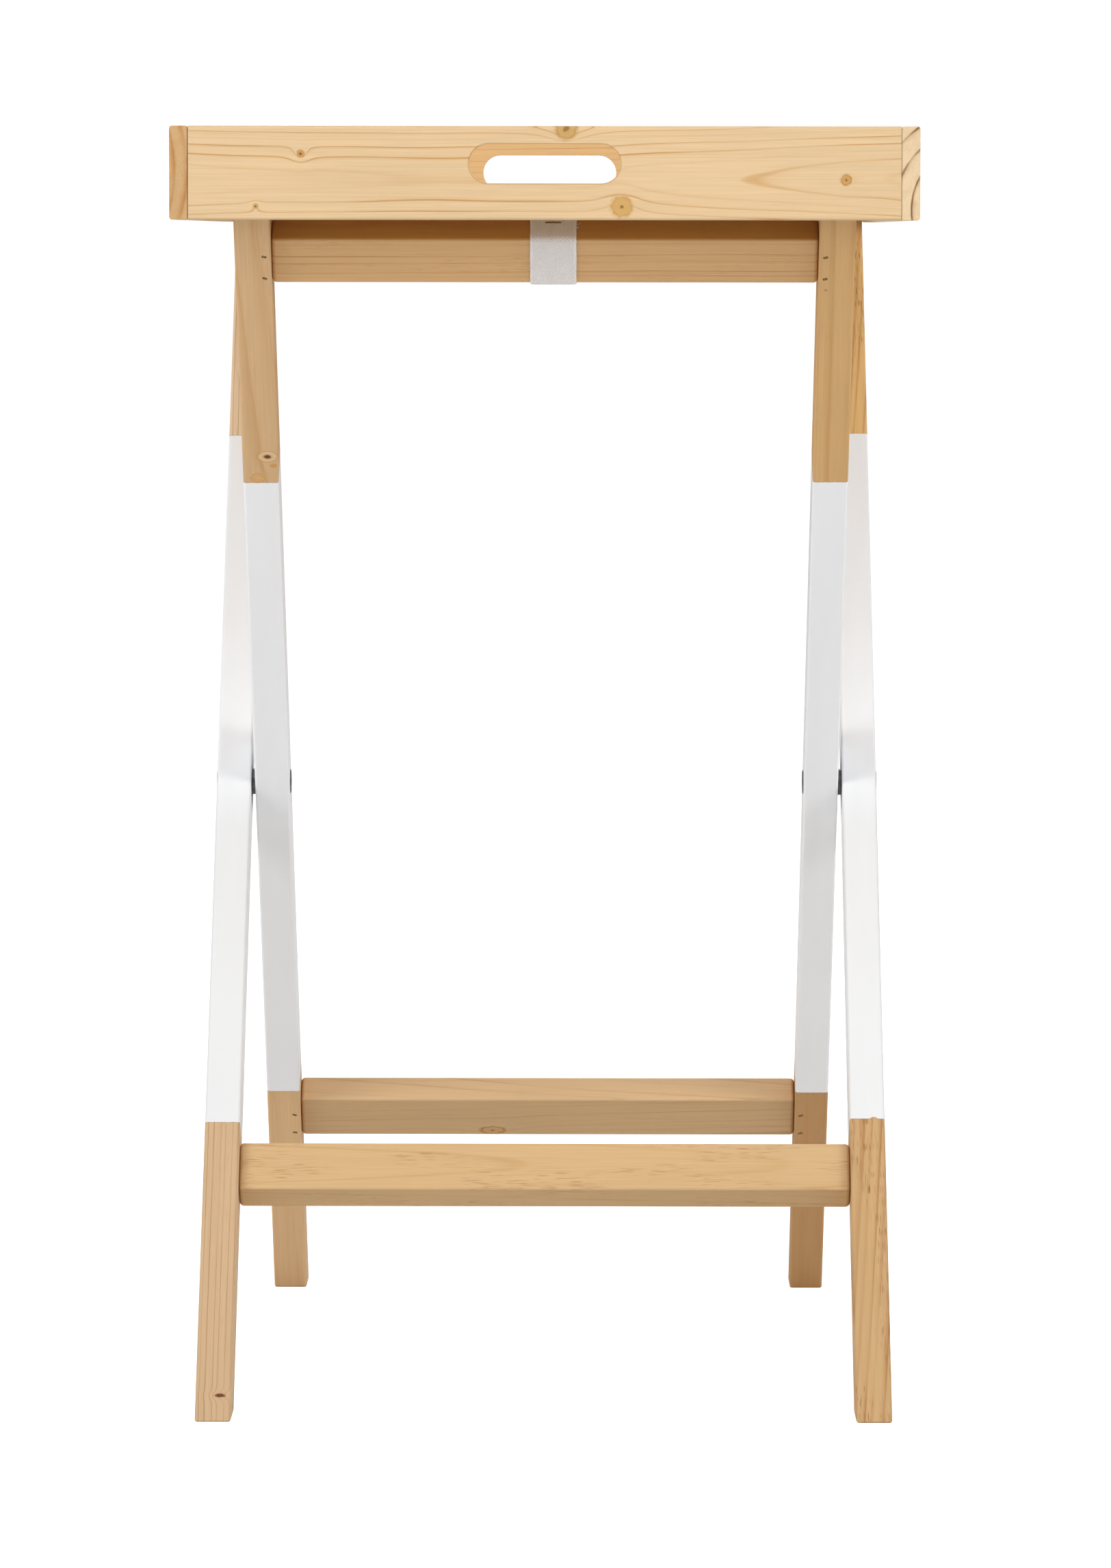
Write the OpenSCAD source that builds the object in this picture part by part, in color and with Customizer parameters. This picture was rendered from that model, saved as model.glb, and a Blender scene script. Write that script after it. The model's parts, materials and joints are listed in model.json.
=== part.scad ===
// Folding tray table: a pine tray that rests on a crossed-leg stand.
// Millimetres, +Z up. The origin is on the floor, under the middle of the table.
// X runs across the table, Y runs from the front handle to the rear handle.

/* [Tray] */
// Length of the tray, front to rear
tray_len = 600; // [570:5:640]
// Width of the tray, side to side
tray_w = 400; // [370:5:440]
// Height of the tray boards
board_h = 50; // [46:1:60]
// Thickness of the tray boards
board_t = 10; // [9:0.5:12]
// Rounding along the edges of the boards
board_r = 1.5; // [0.5:0.1:2]
// Thickness of the bottom panel
panel_t = 6; // [4:0.5:7]
// Depth of the recess under the bottom panel
recess = 6; // [4:0.5:7]
// Depth of the groove that holds the bottom panel
groove_d = 3.5; // [2:0.5:4]
// Thickness of the panel's tongue
tongue_t = 3; // [2:0.5:3.5]

/* [Handles] */
// Length of a handle slot
slot_len = 81; // [70:1:110]
// Height of a handle slot
slot_h = 21; // [18:0.5:24]
// Height of the slot's middle above the lower edge of the board
slot_rise = 30; // [28:0.5:32]

/* [Stand] */
// Height from the floor to the top edge of the tray
total_h = 698; // [670:1:730]
// Width of a leg, across the table
leg_w = 19.5; // [18:0.5:22]
// Depth of a leg, square to its length
leg_d = 30; // [28:0.5:34]
// Rounding along the edges of legs and rails
leg_r = 1.5; // [0.5:0.1:2.5]
// Play between the stand and each side board of the tray
side_play = 1.5; // [1:0.1:2.5]
// Play between the leg tops and each handle board of the tray
end_play = 1.5; // [1:0.1:3]
// Gap between an outer leg and the inner leg beside it
leg_gap = 2.3; // [1.8:0.1:3]

/* [Rails] */
// Thickness of a rail, square to the leg
rail_t = 19; // [16:0.5:22]
// Height of a rail, along the leg
rail_h = 30.5; // [24:0.5:32]
// Distance along the leg from its top end down to the top rail
top_rail_drop = 13.5; // [12:0.5:30]
// Distance along the leg from its foot up to the bottom rail
bottom_rail_rise = 140.5; // [120:0.5:160]
// Thickness of a rail tenon
tenon_t = 9; // [8:0.5:12]
// Height of a rail tenon
tenon_h = 21; // [20:0.5:23]
// Length of a rail tenon
tenon_len = 10; // [8:0.5:12]
// Rounding round the ends of a rail
rail_end_r = 2.5; // [1:0.1:3]

/* [Paint] */
// Length of the painted band above the pivot
paint_up = 241; // [200:1:260]
// Length of the painted band below the pivot
paint_down = 240; // [200:1:260]

/* [Pivots] */
// Diameter of the spacer washer between two legs
washer_d = 15; // [14:0.5:20]
// Diameter of the flat heads of the bolt and of the sleeve nut
head_d = 14; // [12:0.5:15]
// Thickness of those heads
head_t = 2.4; // [2:0.1:2.8]
// Diameter of the sleeve nut, which is the hinge pin
sleeve_d = 8; // [7:0.5:9]
// Diameter of the bolt
bolt_d = 5; // [4:0.5:5.5]
// Length of the sleeve nut, under its head
sleeve_len = 27; // [25:1:30]
// Length of the bolt, under its head
bolt_len = 26; // [20:1:28]
// Width across flats of the hexagon sockets
socket_af = 4; // [3:0.5:4]

/* [Strap] */
// Width of the webbing strap
strap_w = 25; // [20:1:30]
// Thickness of the webbing
strap_t = 1.2; // [1:0.1:1.5]
// Distance of the strap to the right of the table's middle
strap_right = 4.5; // [-20:0.5:20]
// Width of the staple crown
staple_w = 10; // [8:0.5:12]
// Thickness of the staple wire
staple_wire = 1.1; // [0.8:0.1:1.3]
// Length of a staple leg
staple_len = 8; // [6:0.5:10]

/* [Pins] */
// Diameter of the pins that hold the joints
pin_d = 1.8; // [1.4:0.1:2.2]
// Length of the pins through the rail tenons
rail_pin_len = 20; // [18:0.5:22]
// Length of the pins through the tray corners
tray_pin_len = 26; // [20:1:30]

/* [Hidden] */
$fn = 48;
pine = [0.87, 0.73, 0.55];
pale_pine = [0.93, 0.82, 0.66];
paint = [0.95, 0.95, 0.94];
steel = [0.42, 0.40, 0.40];
webbing = [0.90, 0.87, 0.80];

// How far a cut runs past the face it starts from
past = 1;

// Tray
tray_z = total_h - board_h;
panel_z = tray_z + recess;
inner_w = tray_w - 2 * board_t;
inner_len = tray_len - 2 * board_t;
groove_play = 0.1;
corner_pin_gap = board_h / 2;

// Stand: the leg tops are cut level and just fit between the handle boards
pivot_z = panel_z / 2;
half_spread = inner_len / 2 - end_play;
lean = acos(leg_d / 2 / norm([half_spread, pivot_z])) - atan(pivot_z / half_spread);
half_leg = pivot_z / cos(lean);
leg_reach = half_leg + leg_d;
outer_half = inner_w / 2 - side_play;
inner_half = outer_half - leg_w - leg_gap;
top_rail_mid = half_leg - top_rail_drop - rail_h / 2;
bottom_rail_mid = -half_leg + bottom_rail_rise + rail_h / 2;

// Pivots
bore_play = 0.05;
head_play = 0.4;
head_proud = 0.6;
sink_d = head_t - head_proud;
washer_play = 0.05;
socket_d = head_t * 0.7;

// Pins
rail_pin_inset = 3.6;
rail_pin_gap = 15;
pin_sink = 0.1;

// Strap
strap_tail = 16;
strap_lead = 6;
strap_gap = 0.3;
bend_steps = 8;
staple_back = 13;
turn = 90 - lean;
top_face = top_rail_mid + rail_h / 2;
lower_turn = top_rail_mid - rail_h / 2 + leg_r;
front_turn = rail_t / 2 - leg_r;
span_y = lower_turn * sin(lean) + front_turn * cos(lean);
span_z = pivot_z + lower_turn * cos(lean) - front_turn * sin(lean) - leg_r - strap_t;

// A w by d rectangle about the origin with rounded corners
module round_rect(w, d, r) {
    square([w - 2 * r, d], center = true);
    square([w, d - 2 * r], center = true);
    for (x = [-1, 1], y = [-1, 1])
        translate([x * (w / 2 - r), y * (d / 2 - r)])
            circle(r);
}

// A bar along Z with rounded long edges
module bar(w, d, z0, z1, r) {
    translate([0, 0, z0])
        linear_extrude(z1 - z0)
            round_rect(w, d, r);
}

// Children built for the left side, or their mirror image on the right
module on_side(side) {
    mirror([side > 0 ? 1 : 0, 0, 0])
        children();
}

// Children built about the pivot, with Z up the leg and -Y on its lower face
module lean_inner() {
    translate([0, 0, pivot_z])
        rotate([lean, 0, 0])
            children();
}

module lean_outer() {
    mirror([0, 1, 0])
        lean_inner()
            children();
}

// ---- Tray ----

// The tongue round the bottom panel, or the groove that holds it
module tongue(play) {
    w = inner_w + 2 * (groove_d + play);
    l = inner_len + 2 * (groove_d + play);
    translate([-w / 2, -l / 2, panel_z + (panel_t - tongue_t) / 2 - play])
        cube([w, l, tongue_t + 2 * play]);
}

module corner_pins() {
    for (side = [-1, 1], end = [-1, 1], z = [-1, 1])
        translate([
            side * (tray_w / 2 - pin_sink),
            end * (tray_len - board_t) / 2,
            tray_z + board_h / 2 + z * corner_pin_gap / 2
        ])
            rotate([0, -side * 90, 0])
                cylinder(h = tray_pin_len, d = pin_d);
}

module tray_side() {
    color(pale_pine)
        difference() {
            translate([-(tray_w - board_t) / 2, 0, tray_z + board_h / 2])
                rotate([90, 0, 0])
                    bar(board_t, board_h, -tray_len / 2, tray_len / 2, board_r);
            tongue(groove_play);
            corner_pins();
        }
}

module tray_handle(end) {
    color(pale_pine)
        difference() {
            translate([0, end * (tray_len - board_t) / 2, tray_z + board_h / 2])
                rotate([0, 90, 0])
                    bar(board_h, board_t, -inner_w / 2, inner_w / 2, board_r);
            translate([0, end * (tray_len - board_t) / 2, tray_z + slot_rise])
                rotate([90, 0, 0])
                    handle_slot();
            tongue(groove_play);
            corner_pins();
        }
}

module handle_slot() {
    for (x = [-1, 1])
        translate([x * (slot_len - slot_h) / 2, 0, 0])
            cylinder(h = 2 * board_t, d = slot_h, center = true);
    cube([slot_len - slot_h, slot_h, 2 * board_t], center = true);
}

module tray_bottom_panel() {
    w = inner_w - 2 * groove_play;
    l = inner_len - 2 * groove_play;
    color(pale_pine) {
        tongue(0);
        translate([-w / 2, -l / 2, panel_z])
            cube([w, l, panel_t]);
    }
}

module tray_corner_pins() {
    color(steel)
        corner_pins();
}

// ---- Stand ----

// The space between the floor and the level cut of the leg tops
module level_slab() {
    translate([-tray_w, -tray_len, 0])
        cube([2 * tray_w, 2 * tray_len, panel_z]);
}

// A leg's bare ends and its painted band, as one solid
module leg_blank(x) {
    translate([x, 0, 0]) {
        color(pine)
            bar(leg_w, leg_d, -leg_reach, -paint_down, leg_r);
        color(paint)
            bar(leg_w, leg_d, -paint_down, paint_up, leg_r);
        color(pine)
            bar(leg_w, leg_d, paint_up, leg_reach, leg_r);
    }
}

// The mortises for the two tenons on the left leg of a frame of this half width
module mortises(half) {
    for (mid = [bottom_rail_mid, top_rail_mid])
        translate([-half + leg_w - tenon_len, -tenon_t / 2, mid - tenon_h / 2])
            cube([tenon_len + past, tenon_t, tenon_h]);
}

// The pins through the tenons, driven in from the legs' lower faces
module rail_pins(half) {
    for (side = [-1, 1], mid = [bottom_rail_mid, top_rail_mid], along = [-1, 1])
        translate([
            side * (half - leg_w + rail_pin_inset),
            -leg_d / 2 + pin_sink,
            mid + along * rail_pin_gap / 2
        ])
            rotate([-90, 0, 0])
                cylinder(h = rail_pin_len, d = pin_d);
}

module inner_leg() {
    bore_x = -inner_half + leg_w / 2;
    difference() {
        intersection() {
            lean_inner()
                leg_blank(bore_x);
            level_slab();
        }
        lean_inner() {
            mortises(inner_half);
            rail_pins(inner_half);
        }
        translate([bore_x, 0, pivot_z])
            rotate([0, 90, 0])
                cylinder(h = 2 * leg_w, r = sleeve_d / 2 + bore_play, center = true);
        translate([-inner_half + leg_w - sink_d, 0, pivot_z])
            rotate([0, 90, 0])
                cylinder(h = leg_w, d = head_d + 2 * head_play);
    }
}

module outer_leg() {
    bore_x = -outer_half + leg_w / 2;
    difference() {
        intersection() {
            lean_outer()
                leg_blank(bore_x);
            level_slab();
        }
        lean_outer() {
            mortises(outer_half);
            rail_pins(outer_half);
        }
        translate([bore_x, 0, pivot_z])
            rotate([0, 90, 0])
                cylinder(h = 2 * leg_w, d = sleeve_d, center = true);
        translate([-outer_half + sink_d, 0, pivot_z])
            rotate([0, -90, 0])
                cylinder(h = leg_w, d = head_d + 2 * head_play);
    }
}

// A rail's body, with its long edges and its ends rounded
module rail_body(length) {
    intersection() {
        rotate([0, 90, 0])
            bar(rail_h, rail_t, -length / 2, length / 2, leg_r);
        bar(length, rail_t, -rail_h, rail_h, rail_end_r);
        rotate([90, 0, 0])
            bar(length, rail_h, -rail_t, rail_t, rail_end_r);
    }
}

// A rail between two legs, with a tenon at each end
module rail(half, mid) {
    length = 2 * (half - leg_w);
    color(pine)
        difference() {
            translate([0, 0, mid]) {
                rail_body(length);
                cube([length + 2 * tenon_len, tenon_t, tenon_h], center = true);
            }
            rail_pins(half);
        }
}

module inner_top_rail() {
    difference() {
        lean_inner()
            rail(inner_half, top_rail_mid);
        lean_inner()
            staple();
    }
}

module outer_top_rail() {
    difference() {
        lean_outer()
            rail(outer_half, top_rail_mid);
        lean_outer()
            staple();
    }
}

module inner_bottom_rail() {
    lean_inner()
        rail(inner_half, bottom_rail_mid);
}

module outer_bottom_rail() {
    lean_outer()
        rail(outer_half, bottom_rail_mid);
}

module inner_rail_pins() {
    color(steel)
        lean_inner()
            rail_pins(inner_half);
}

module outer_rail_pins() {
    color(steel)
        lean_outer()
            rail_pins(outer_half);
}

// ---- Pivots ----

module hex_socket() {
    translate([0, 0, -past])
        cylinder(h = socket_d + past, d = socket_af / cos(30), $fn = 6);
}

// Bolt, with its head let into the outer face of the outer leg
module pivot_bolt() {
    color(steel)
        translate([-outer_half + sink_d - head_t, 0, pivot_z])
            rotate([0, 90, 0])
                difference() {
                    union() {
                        cylinder(h = head_t, d = head_d);
                        cylinder(h = head_t + bolt_len, d = bolt_d);
                    }
                    hex_socket();
                }
}

// Sleeve nut, with its head let into the inner face of the inner leg
module sleeve_nut() {
    tip = -outer_half + sink_d + bolt_len;
    head_x = -inner_half + leg_w - sink_d + head_t;
    color(steel)
        difference() {
            translate([head_x, 0, pivot_z])
                rotate([0, -90, 0])
                    difference() {
                        union() {
                            cylinder(h = head_t, d = head_d);
                            cylinder(h = head_t + sleeve_len, d = sleeve_d);
                        }
                        hex_socket();
                    }
            translate([-outer_half, 0, pivot_z])
                rotate([0, 90, 0])
                    cylinder(h = tip + outer_half, d = bolt_d);
        }
}

module spacer_washer() {
    color(steel)
        translate([-inner_half - leg_gap, 0, pivot_z])
            rotate([0, 90, 0])
                difference() {
                    cylinder(h = leg_gap - washer_play, d = washer_d);
                    translate([0, 0, -past])
                        cylinder(h = leg_gap + 2 * past, d = sleeve_d);
                }
}

// ---- Strap ----

// Points round a bend of the webbing, from angle a0 to angle a1
function bend(centre, r, a0, a1) = [
    for (k = [0:bend_steps])
        let (a = a0 + (a1 - a0) * k / bend_steps)
            centre + r * [cos(a), sin(a)]
];

// One face of the webbing: along the top of the rail, down its lower face and under it
function strap_line(r) = concat(
    [[-front_turn + strap_tail, top_face - leg_r + r]],
    bend([-front_turn, top_face - leg_r], r, 90, 180),
    bend([-front_turn, lower_turn], r, 180, 180 + turn),
    [[-front_turn, lower_turn] - r * [sin(lean), cos(lean)] + strap_lead * [cos(lean), -sin(lean)]]
);

function reversed(points) = [for (k = [len(points) - 1:-1:0]) points[k]];

module strap_wrap() {
    color(webbing)
        difference() {
            translate([strap_right - strap_w / 2, 0, 0])
                rotate([90, 0, 90])
                    linear_extrude(strap_w)
                        polygon(concat(strap_line(leg_r + strap_t), reversed(strap_line(leg_r))));
            staple();
        }
}

// A staple across the strap, on top of a top rail: a flattened crown and two legs
module staple() {
    translate([strap_right, -rail_t / 2 + staple_back, top_face + strap_t]) {
        translate([-staple_w / 2, -staple_wire / 2, -staple_wire / 4])
            cube([staple_w, staple_wire, staple_wire / 2]);
        for (x = [-1, 1])
            translate([x * (staple_w - staple_wire) / 2, 0, -staple_len / 2])
                cube([staple_wire, staple_wire, staple_len], center = true);
    }
}

module strap_front_wrap() {
    lean_inner()
        strap_wrap();
}

module strap_rear_wrap() {
    lean_outer()
        strap_wrap();
}

// The free webbing between the two top rails
module strap_span() {
    color(webbing)
        translate([strap_right - strap_w / 2, -span_y + strap_lead + strap_gap, span_z])
            cube([strap_w, 2 * (span_y - strap_lead) - strap_gap, strap_t]);
}

module strap_staple_front() {
    color(steel)
        lean_inner()
            staple();
}

module strap_staple_rear() {
    color(steel)
        lean_outer()
            staple();
}

on_side(-1) tray_side();  // tray_side_left
on_side(1) tray_side();  // tray_side_right
tray_handle(-1);  // tray_handle_front
tray_handle(1);  // tray_handle_rear
tray_bottom_panel();
tray_corner_pins();
on_side(-1) outer_leg();  // outer_leg_left
on_side(1) outer_leg();  // outer_leg_right
outer_top_rail();
outer_bottom_rail();
outer_rail_pins();
on_side(-1) inner_leg();  // inner_leg_left
on_side(1) inner_leg();  // inner_leg_right
inner_top_rail();
inner_bottom_rail();
inner_rail_pins();
on_side(-1) pivot_bolt();  // pivot_bolt_left
on_side(1) pivot_bolt();  // pivot_bolt_right
on_side(-1) sleeve_nut();  // sleeve_nut_left
on_side(1) sleeve_nut();  // sleeve_nut_right
on_side(-1) spacer_washer();  // spacer_washer_left
on_side(1) spacer_washer();  // spacer_washer_right
strap_front_wrap();
strap_span();
strap_rear_wrap();
strap_staple_front();
strap_staple_rear();
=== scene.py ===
"""Folding tray table: the looks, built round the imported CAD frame.

Metres, in the CAD's own frame: X across the table, Y from front to rear, Z up.
Every board is built in its own axes, with X across its face, Y through it and Z along the grain,
so that the solid wood material runs along each board.
"""

import json
import math
import random

import bmesh
import bpy
from mathutils import Matrix, Vector


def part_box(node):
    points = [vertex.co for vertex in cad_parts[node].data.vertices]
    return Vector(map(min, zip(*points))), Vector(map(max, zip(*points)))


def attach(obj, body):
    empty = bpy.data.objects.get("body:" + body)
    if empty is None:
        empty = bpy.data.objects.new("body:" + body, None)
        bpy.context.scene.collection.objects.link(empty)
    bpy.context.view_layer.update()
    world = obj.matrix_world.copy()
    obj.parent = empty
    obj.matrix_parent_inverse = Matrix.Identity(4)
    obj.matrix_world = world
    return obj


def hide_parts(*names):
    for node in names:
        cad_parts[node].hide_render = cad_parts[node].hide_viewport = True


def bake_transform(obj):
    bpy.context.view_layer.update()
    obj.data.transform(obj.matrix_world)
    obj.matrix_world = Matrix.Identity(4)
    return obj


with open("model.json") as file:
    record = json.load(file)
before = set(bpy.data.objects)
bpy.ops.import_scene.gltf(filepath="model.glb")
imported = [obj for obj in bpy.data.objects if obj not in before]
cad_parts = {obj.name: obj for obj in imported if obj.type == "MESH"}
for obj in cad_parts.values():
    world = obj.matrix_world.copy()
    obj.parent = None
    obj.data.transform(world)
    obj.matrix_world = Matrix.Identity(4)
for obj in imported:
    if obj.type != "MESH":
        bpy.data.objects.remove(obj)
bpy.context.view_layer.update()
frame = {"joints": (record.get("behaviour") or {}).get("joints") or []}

# ---- Sizes, in metres ----

MM = 0.001

# Legs and rails
LEG_D = 30 * MM
LEG_R = 1.5 * MM
FOOT_R = 1.5 * MM
RAIL_T = 19 * MM
RAIL_H = 30.5 * MM
RAIL_END_R = 2.5 * MM
TENON_T = 9 * MM
TENON_H = 21 * MM
TENON_LEN = 10 * MM
TENON_R = 0.5 * MM
MORTISE_PLAY = 0.1 * MM

# Tray
BOARD_R = 1.5 * MM
BUTT_R = 0.4 * MM
SLOT_LEN = 81 * MM
SLOT_H = 21 * MM
SLOT_RISE = 30 * MM
SLOT_R = 0.6 * MM
TONGUE_T = 3 * MM
GROOVE_D = 3.5 * MM
GROOVE_PLAY = 0.1 * MM

# Brads and their holes
BRAD_W = 2.5 * MM
BRAD_T = 1.3 * MM
BRAD_R = 0.15 * MM
BRAD_EASE = 0.3 * MM
BRAD_SINK = 0.15 * MM
BRAD_GAP = 15 * MM
RAIL_BRAD_INSET = 3.6 * MM
RAIL_BRAD_LEN = 20 * MM
TRAY_BRAD_LEN = 26 * MM
HOLE_PLAY = 0.15 * MM
HOLE_D = 0.6 * MM

# Pivots
HEAD_R = 7 * MM
HEAD_T = 2.4 * MM
HEAD_SINK = 1.8 * MM
HEAD_PLAY = 0.4 * MM
SLEEVE_R = 4 * MM
BOLT_R = 2.5 * MM
BORE_PLAY = 0.05 * MM
SOCKET_AF = 4 * MM
SOCKET_D = 1.7 * MM

# Strap and staples
STRAP_W = 25 * MM
STRAP_T = 1.2 * MM
STRAP_TAIL = 16 * MM
RIB = 1.35 * MM
RIB_SLOPE = 1.5
COLUMN = 1.05 * MM
EDGE_AT = 11.1 * MM
EDGE_CORD = 0.75 * MM
EDGE_PICK = 0.9 * MM
STRAP_STEP = 0.45 * MM
SLOW_WAVE = 5.1 * MM
QUICK_WAVE = 2.3 * MM
RIBBON_SQUARE = 24
RIBBON_EDGE = 0.02 * MM
THREAD_T = 0.22 * MM
STAPLE_BACK = 13 * MM
STAPLE_W = 10 * MM
STAPLE_LEN = 8 * MM
STAPLE_WIRE = 1.1 * MM

# How far a cutter reaches past what it cuts
PAST = 2 * MM

# Studio and camera; its turns are in radians
STUDIO_R = 30
FLOOR_DROP = 0.5 * MM
EVEN_LIGHT = 0.30
CAMERA_PLACE = (0.0217, -4.43, 0.6397)
CAMERA_TURN = 0.00376
CAMERA_DIP = 0.0708
CAMERA_ROLL = 0.0012
LENS_MM = 177.5

# Each light's name, place, size and power. All of them aim at the pivot.
LIGHTS = (
    ("left", (-3.0, -2.2, 1.9), 1.8, 80),
    ("right", (3.0, -2.2, 1.9), 1.8, 71),
    ("top", (0.0, -2.4, 3.2), 2.2, 26),
    ("back", (0.4, 3.4, 2.6), 2.4, 90),
)

# ---- Places, from the frame ----

side_lo, side_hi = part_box("tray_side_left")
panel_lo, panel_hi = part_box("tray_bottom_panel")
leg_lo, leg_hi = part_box("inner_leg_left")
span_lo, span_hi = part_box("strap_span")

PIVOT_Z = next(j for j in frame["joints"] if j["name"] == "stand_fold")["pos_m"][2]
LEG_W = leg_hi.x - leg_lo.x
LEG_TOP = leg_hi.z
SPREAD = leg_hi.y
LEAN = math.acos(LEG_D / 2 / math.hypot(SPREAD, PIVOT_Z)) - math.atan(PIVOT_Z / SPREAD)

BOARD_T = side_hi.x - side_lo.x
BOARD_H = side_hi.z - side_lo.z
TRAY_LEN = side_hi.y - side_lo.y
TRAY_MID = (side_lo.z + side_hi.z) / 2
PANEL_T = panel_hi.z - panel_lo.z
PANEL_RISE = (panel_lo.z + panel_hi.z) / 2 - TRAY_MID
STRAP_X = (span_lo.x + span_hi.x) / 2


def underside(body):
    """Which way a leg frame's lower faces look: to the front (-1) or to the rear (1)."""
    return -1 if body == "inner_frame" else 1


def half_width(body):
    """Half the width of a leg frame, over its legs."""
    return -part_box(body.replace("frame", "leg_left"))[0].x


def leaning(body):
    """The axes of one leg frame: origin at the pivot, X across the table, Z up the legs."""
    return Matrix.Translation((0, 0, PIVOT_Z)) @ Matrix.Rotation(-underside(body) * LEAN, 4, "X")


def rail_height(body, which):
    """How far a frame's top_rail or bottom_rail lies from the pivot, along the legs."""
    lo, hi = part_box(body.replace("frame", which))
    return (leaning(body).inverted() @ ((lo + hi) / 2)).z


def board_axes(across, along, origin):
    """Axes with X across a board's face and Z along its grain."""
    x, z = Vector(across), Vector(along)
    return Matrix.Translation(origin) @ Matrix((x, z.cross(x), z)).transposed().to_4x4()


def facing(outward, x):
    """Axes at the pivot's height, with Z pointing to the left (-1) or right (1)."""
    turned = Matrix.Rotation(math.radians(90 * outward), 4, "Y")
    return Matrix.Translation((x, 0, PIVOT_Z)) @ turned


# ---- Mesh code ----


def arc_steps(radius, steps=4):
    """(inset, rise) pairs for an end rounded from its flat face to its side."""
    angles = [math.pi / 2 * k / steps for k in range(steps + 1)]
    return [(radius * (1 - math.sin(a)), radius * (1 - math.cos(a))) for a in angles]


def round_rect(w, d, r, steps=4):
    """Points round a w by d rectangle with rounded corners."""
    points = []
    for quarter, (sx, sy) in enumerate(((1, 1), (-1, 1), (-1, -1), (1, -1))):
        for k in range(steps + 1):
            a = math.pi / 2 * (quarter + k / steps)
            points.append((sx * (w / 2 - r) + r * math.cos(a), sy * (d / 2 - r) + r * math.sin(a)))
    return points


def add_loft(mesh, rings, closed=False):
    """A skin over rings of points, capped at both ends, or joined end to end."""
    rows = [[mesh.verts.new(p) for p in ring] for ring in rings]
    pairs = list(zip(rows, rows[1:] + rows[:1])) if closed else list(zip(rows, rows[1:]))
    for low, high in pairs:
        for k in range(len(low)):
            mesh.faces.new((low[k - 1], low[k], high[k], high[k - 1]))
    if not closed:
        mesh.faces.new(rows[0])
        mesh.faces.new(rows[-1])
    return rows


def add_lathe(mesh, profile, axes=Matrix(), closed=False, steps=56):
    """A solid of revolution about Z, from (radius, height) pairs."""
    turns = [2 * math.pi * k / steps for k in range(steps)]
    rings = []
    for r, z in profile:
        rings.append([axes @ Vector((r * math.cos(a), r * math.sin(a), z)) for a in turns])
    add_loft(mesh, rings, closed)


def add_bar(mesh, w, d, low, high, r, end_r, slope=0.0, tenon=0.0):
    """A bar along Z with rounded edges. Its ends may be cut at a slope, or carry tenons."""
    stub = round_rect(TENON_H, TENON_T, TENON_R)
    rings = [[(x, y, z) for x, y in stub] for z in (low - tenon, low)] if tenon else []
    ends = [(inset, low + rise) for inset, rise in arc_steps(end_r)]
    ends += [(inset, high - rise) for inset, rise in reversed(arc_steps(end_r))]
    for inset, z in ends:
        section = round_rect(w - 2 * inset, d - 2 * inset, max(r - inset, r / 4))
        rings.append([(x, y, z + slope * y) for x, y in section])
    if tenon:
        rings += [[(x, y, z) for x, y in stub] for z in (high, high + tenon)]
    add_loft(mesh, rings)


def linked(name, data):
    """A new object in the scene."""
    obj = bpy.data.objects.new(name, data)
    bpy.context.scene.collection.objects.link(obj)
    return obj


def new_object(name, mesh, axes=Matrix()):
    """An object from a bmesh, with its normals facing out."""
    bmesh.ops.recalc_face_normals(mesh, faces=mesh.faces[:])
    data = bpy.data.meshes.new(name)
    mesh.to_mesh(data)
    mesh.free()
    obj = linked(name, data)
    obj.matrix_world = axes
    return obj


def carve(obj, mesh):
    """Cuts the solids of a bmesh, in obj's own axes, out of obj."""
    cutter = new_object("cutter", mesh, obj.matrix_world)
    cut = obj.modifiers.new("cut", "BOOLEAN")
    cut.operation = "DIFFERENCE"
    cut.solver = "EXACT"
    cut.object = cutter
    graph = bpy.context.evaluated_depsgraph_get()
    obj.data = bpy.data.meshes.new_from_object(obj.evaluated_get(graph))
    obj.modifiers.clear()
    bpy.data.objects.remove(cutter)


def soften(obj, angle=35):
    """Smooth shading over the roundings, with flat faces kept flat."""
    obj.data.shade_smooth()
    obj.data.set_sharp_from_angle(angle=math.radians(angle))
    normals = obj.modifiers.new("flat faces", "WEIGHTED_NORMAL")
    normals.keep_sharp = True


def settle(obj):
    """Keeps what materials read of a piece's own axes, then moves its mesh to the shared frame."""
    own = obj.data.attributes.new("own", "FLOAT_VECTOR", "POINT")
    own.data.foreach_set("vector", [c for v in obj.data.vertices for c in v.co])
    ends = obj.data.attributes.new("end_grain", "FLOAT", "FACE")
    ends.data.foreach_set("value", [abs(face.normal.z) for face in obj.data.polygons])
    obj.data.transform(obj.matrix_world)
    obj.matrix_world = Matrix()


def put(obj, body, slot, finish, *nodes):
    """Gives a piece its finish and body, and the CAD nodes it stands for. Its slot argument is not
    used.
    """
    settle(obj)
    soften(obj)
    obj.data.materials.clear()
    obj.data.materials.append(finish)
    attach(obj, body)
    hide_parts(*nodes)


# ---- Shader code ----


def srgb(red, green, blue):
    """A linear colour from 0-255 display values."""
    parts = [c / 255 for c in (red, green, blue)]
    linear = [c / 12.92 if c <= 0.04045 else ((c + 0.055) / 1.055) ** 2.4 for c in parts]
    return (*linear, 1.0)


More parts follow.
